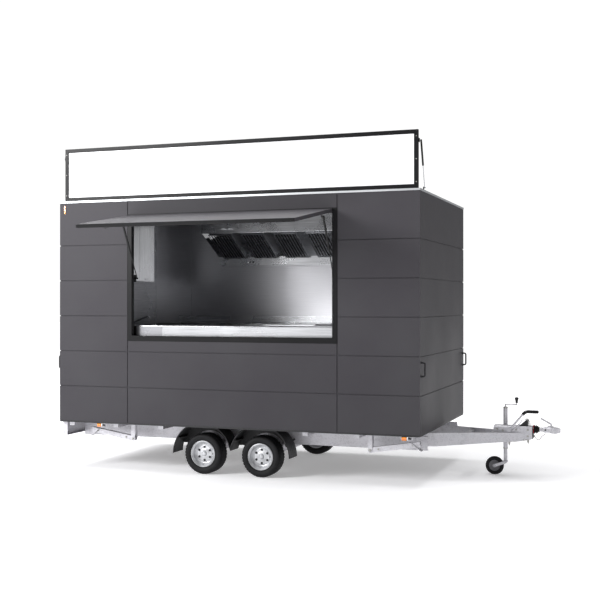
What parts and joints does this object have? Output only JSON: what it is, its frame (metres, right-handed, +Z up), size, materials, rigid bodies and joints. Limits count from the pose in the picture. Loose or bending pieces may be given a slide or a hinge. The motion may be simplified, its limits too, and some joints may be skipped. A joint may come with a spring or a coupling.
{
  "type": "catering trailer (towed food truck)",
  "caption": "Towed catering trailer: panel-clad kitchen body on twin axles with a top-hinged serving hatch, folding roof sign and jockey wheel.",
  "frame": {"origin": "on the ground, under the middle of the outline", "axes": "+X runs forward to the coupling, the serving side faces -Y, +Z is up"},
  "size_m": [5.508, 3.49, 3.645],
  "materials": {
    "anthracite_panel": "satin",
    "black_frame": "satin",
    "galvanised_steel": "satin",
    "stainless_steel": "satin",
    "chrome": "polished",
    "roof_alloy": "satin",
    "underfloor_board": "matte",
    "black_rubber": "matte",
    "tyre_rubber": "matte",
    "rim_steel": "satin",
    "black_plastic": "matte",
    "sign_sheet": "gloss",
    "amber_lens": "gloss",
    "red_lens": "gloss",
    "strut_black": "gloss",
    "strut_rod": "polished"
  },
  "bodies": {
    "trailer": {"chassis_rails": "galvanised_steel", "cross_members": "galvanised_steel", "drawbar": "galvanised_steel", "overrun_hitch": "galvanised_steel", "coupling_head": "galvanised_steel", "hitch_bellows": "black_rubber", "handbrake_lever": "galvanised_steel", "jockey_outer_tube": "galvanised_steel", "axles": "galvanised_steel", "mudguards": "black_plastic", "floor_panel": "underfloor_board", "roof_panel": "roof_alloy", "serving_wall": "anthracite_panel", "back_wall": "anthracite_panel", "rear_wall": "anthracite_panel", "front_wall": "anthracite_panel", "hatch_frame": "black_frame", "back_worktop": "stainless_steel", "serving_counter": "stainless_steel", "sink_unit": "stainless_steel", "faucet": "chrome", "extractor_hood": "stainless_steel", "wall_cabinet": "stainless_steel", "rear_lamp_bar": "galvanised_steel", "rear_lamps": "red_lens", "marker_lamps": "amber_lens", "grab_handles": "black_frame", "steady_brackets": "galvanised_steel", "sign_hinges": "black_frame", "door_hinges": "black_frame", "wheel_chock": "black_plastic", "breakaway_cable": "galvanised_steel"},
    "hatch": {"serving_hatch": "anthracite_panel"},
    "sign": {"sign_frame": "black_frame", "sign_panel": "sign_sheet"},
    "door": {"entrance_door": "anthracite_panel"},
    "jockey_leg": {"jockey_leg": "galvanised_steel"},
    "jockey_fork": {"jockey_fork": "galvanised_steel"},
    "jockey_wheel": {"jockey_wheel": "black_rubber"},
    "wheel_rear_right": {"tyre_rear_right": "tyre_rubber", "rim_rear_right": "rim_steel"},
    "wheel_front_right": {"tyre_front_right": "tyre_rubber", "rim_front_right": "rim_steel"},
    "wheel_rear_left": {"tyre_rear_left": "tyre_rubber", "rim_rear_left": "rim_steel"},
    "wheel_front_left": {"tyre_front_left": "tyre_rubber", "rim_front_left": "rim_steel"},
    "steady_rear_right": {"steady_leg_rear_right": "galvanised_steel"},
    "steady_front_right": {"steady_leg_front_right": "galvanised_steel"},
    "steady_rear_left": {"steady_leg_rear_left": "galvanised_steel"},
    "steady_front_left": {"steady_leg_front_left": "galvanised_steel"},
    "hatch_strut_tube_rear": {"hatch_strut_tube_rear": "strut_black"},
    "hatch_strut_rod_rear": {"hatch_strut_rod_rear": "strut_black"},
    "sign_strut_tube_rear": {"sign_strut_tube_rear": "strut_black"},
    "sign_strut_rod_rear": {"sign_strut_rod_rear": "strut_rod"},
    "hatch_strut_tube_front": {"hatch_strut_tube_front": "strut_black"},
    "hatch_strut_rod_front": {"hatch_strut_rod_front": "strut_black"},
    "sign_strut_tube_front": {"sign_strut_tube_front": "strut_black"},
    "sign_strut_rod_front": {"sign_strut_rod_front": "strut_rod"}
  },
  "joints": [
    {"name": "hatch_hinge", "type": "hinge", "parent": "trailer", "child": "hatch", "pos_m": [-0.606, -0.61499, 2.83], "axis": [1, 0, 0], "range_deg": [0, 80.7]},
    {"name": "hatch_strut_turn_rear", "type": "hinge", "parent": "hatch", "child": "hatch_strut_tube_rear", "pos_m": [-1.762, -0.84205, 2.76242], "axis": [-1, 0, 0], "range_deg": [0, 99.76]},
    {"name": "hatch_strut_slide_rear", "type": "slide", "parent": "hatch_strut_tube_rear", "child": "hatch_strut_rod_rear", "axis": [0, -0.4872, 0.8733], "range_m": [0, 0.2482]},
    {"name": "hatch_strut_turn_front", "type": "hinge", "parent": "hatch", "child": "hatch_strut_tube_front", "pos_m": [0.55, -0.84205, 2.76242], "axis": [-1, 0, 0], "range_deg": [0, 99.76]},
    {"name": "hatch_strut_slide_front", "type": "slide", "parent": "hatch_strut_tube_front", "child": "hatch_strut_rod_front", "axis": [0, -0.4872, 0.8733], "range_m": [0, 0.2482]},
    {"name": "sign_hinge", "type": "hinge", "parent": "trailer", "child": "sign", "pos_m": [-0.606, -0.49799, 3.058], "axis": [-1, 0, 0], "range_deg": [0, 90]},
    {"name": "sign_strut_turn_rear", "type": "hinge", "parent": "sign", "child": "sign_strut_tube_rear", "pos_m": [-2.695, -0.49799, 3.538], "axis": [-1, 0, 0], "range_deg": [0, 21.66]},
    {"name": "sign_strut_slide_rear", "type": "slide", "parent": "sign_strut_tube_rear", "child": "sign_strut_rod_rear", "axis": [0, -0.3247, 0.9458], "range_m": [0, 0.1729]},
    {"name": "sign_strut_turn_front", "type": "hinge", "parent": "sign", "child": "sign_strut_tube_front", "pos_m": [1.483, -0.49799, 3.538], "axis": [-1, 0, 0], "range_deg": [0, 21.66]},
    {"name": "sign_strut_slide_front", "type": "slide", "parent": "sign_strut_tube_front", "child": "sign_strut_rod_front", "axis": [0, -0.3247, 0.9458], "range_m": [0, 0.1729]},
    {"name": "door_hinge", "type": "hinge", "parent": "trailer", "child": "door", "pos_m": [1.392, 1.71001, 1.58], "axis": [0, 0, -1], "range_deg": [0, 110]},
    {"name": "jockey_slide", "type": "slide", "parent": "trailer", "child": "jockey_leg", "axis": [0, 0, 1], "range_m": [0, 0.125]},
    {"name": "jockey_swivel", "type": "hinge", "parent": "jockey_leg", "child": "jockey_fork", "pos_m": [2.16, 0.64001, 0.16], "axis": [0, 0, 1], "continuous": true},
    {"name": "jockey_roll", "type": "hinge", "parent": "jockey_fork", "child": "jockey_wheel", "pos_m": [2.042, 0.64001, 0.1], "axis": [0, 1, 0], "continuous": true},
    {"name": "roll_rear_right", "type": "hinge", "parent": "trailer", "child": "wheel_rear_right", "pos_m": [-0.976, -0.36749, 0.2245], "axis": [0, 1, 0], "continuous": true},
    {"name": "roll_front_right", "type": "hinge", "parent": "trailer", "child": "wheel_front_right", "pos_m": [-0.296, -0.36749, 0.2245], "axis": [0, 1, 0], "continuous": true},
    {"name": "roll_rear_left", "type": "hinge", "parent": "trailer", "child": "wheel_rear_left", "pos_m": [-0.976, 1.46751, 0.2245], "axis": [0, 1, 0], "continuous": true},
    {"name": "roll_front_left", "type": "hinge", "parent": "trailer", "child": "wheel_front_left", "pos_m": [-0.296, 1.46751, 0.2245], "axis": [0, 1, 0], "continuous": true},
    {"name": "steady_swing_rear_right", "type": "hinge", "parent": "trailer", "child": "steady_rear_right", "pos_m": [-1.856, -0.39999, 0.352], "axis": [0, -1, 0], "range_deg": [0, 45.32]},
    {"name": "steady_swing_front_right", "type": "hinge", "parent": "trailer", "child": "steady_front_right", "pos_m": [0.924, -0.39999, 0.352], "axis": [0, 1, 0], "range_deg": [0, 45.32]},
    {"name": "steady_swing_rear_left", "type": "hinge", "parent": "trailer", "child": "steady_rear_left", "pos_m": [-1.856, 1.50001, 0.352], "axis": [0, -1, 0], "range_deg": [0, 45.32]},
    {"name": "steady_swing_front_left", "type": "hinge", "parent": "trailer", "child": "steady_front_left", "pos_m": [0.924, 1.50001, 0.352], "axis": [0, 1, 0], "range_deg": [0, 45.32]}
  ],
  "couplings": [
    {"joint": "hatch_strut_turn_rear", "follows": "hatch_hinge", "ratio": 1.2337},
    {"joint": "hatch_strut_slide_rear", "follows": "hatch_hinge", "m_per_rad": 0.17586},
    {"joint": "hatch_strut_turn_front", "follows": "hatch_hinge", "ratio": 1.2337},
    {"joint": "hatch_strut_slide_front", "follows": "hatch_hinge", "m_per_rad": 0.17586},
    {"joint": "sign_strut_turn_rear", "follows": "sign_hinge", "ratio": 0.23839},
    {"joint": "sign_strut_slide_rear", "follows": "sign_hinge", "m_per_rad": 0.10975},
    {"joint": "sign_strut_turn_front", "follows": "sign_hinge", "ratio": 0.23839},
    {"joint": "sign_strut_slide_front", "follows": "sign_hinge", "m_per_rad": 0.10975}
  ]
}
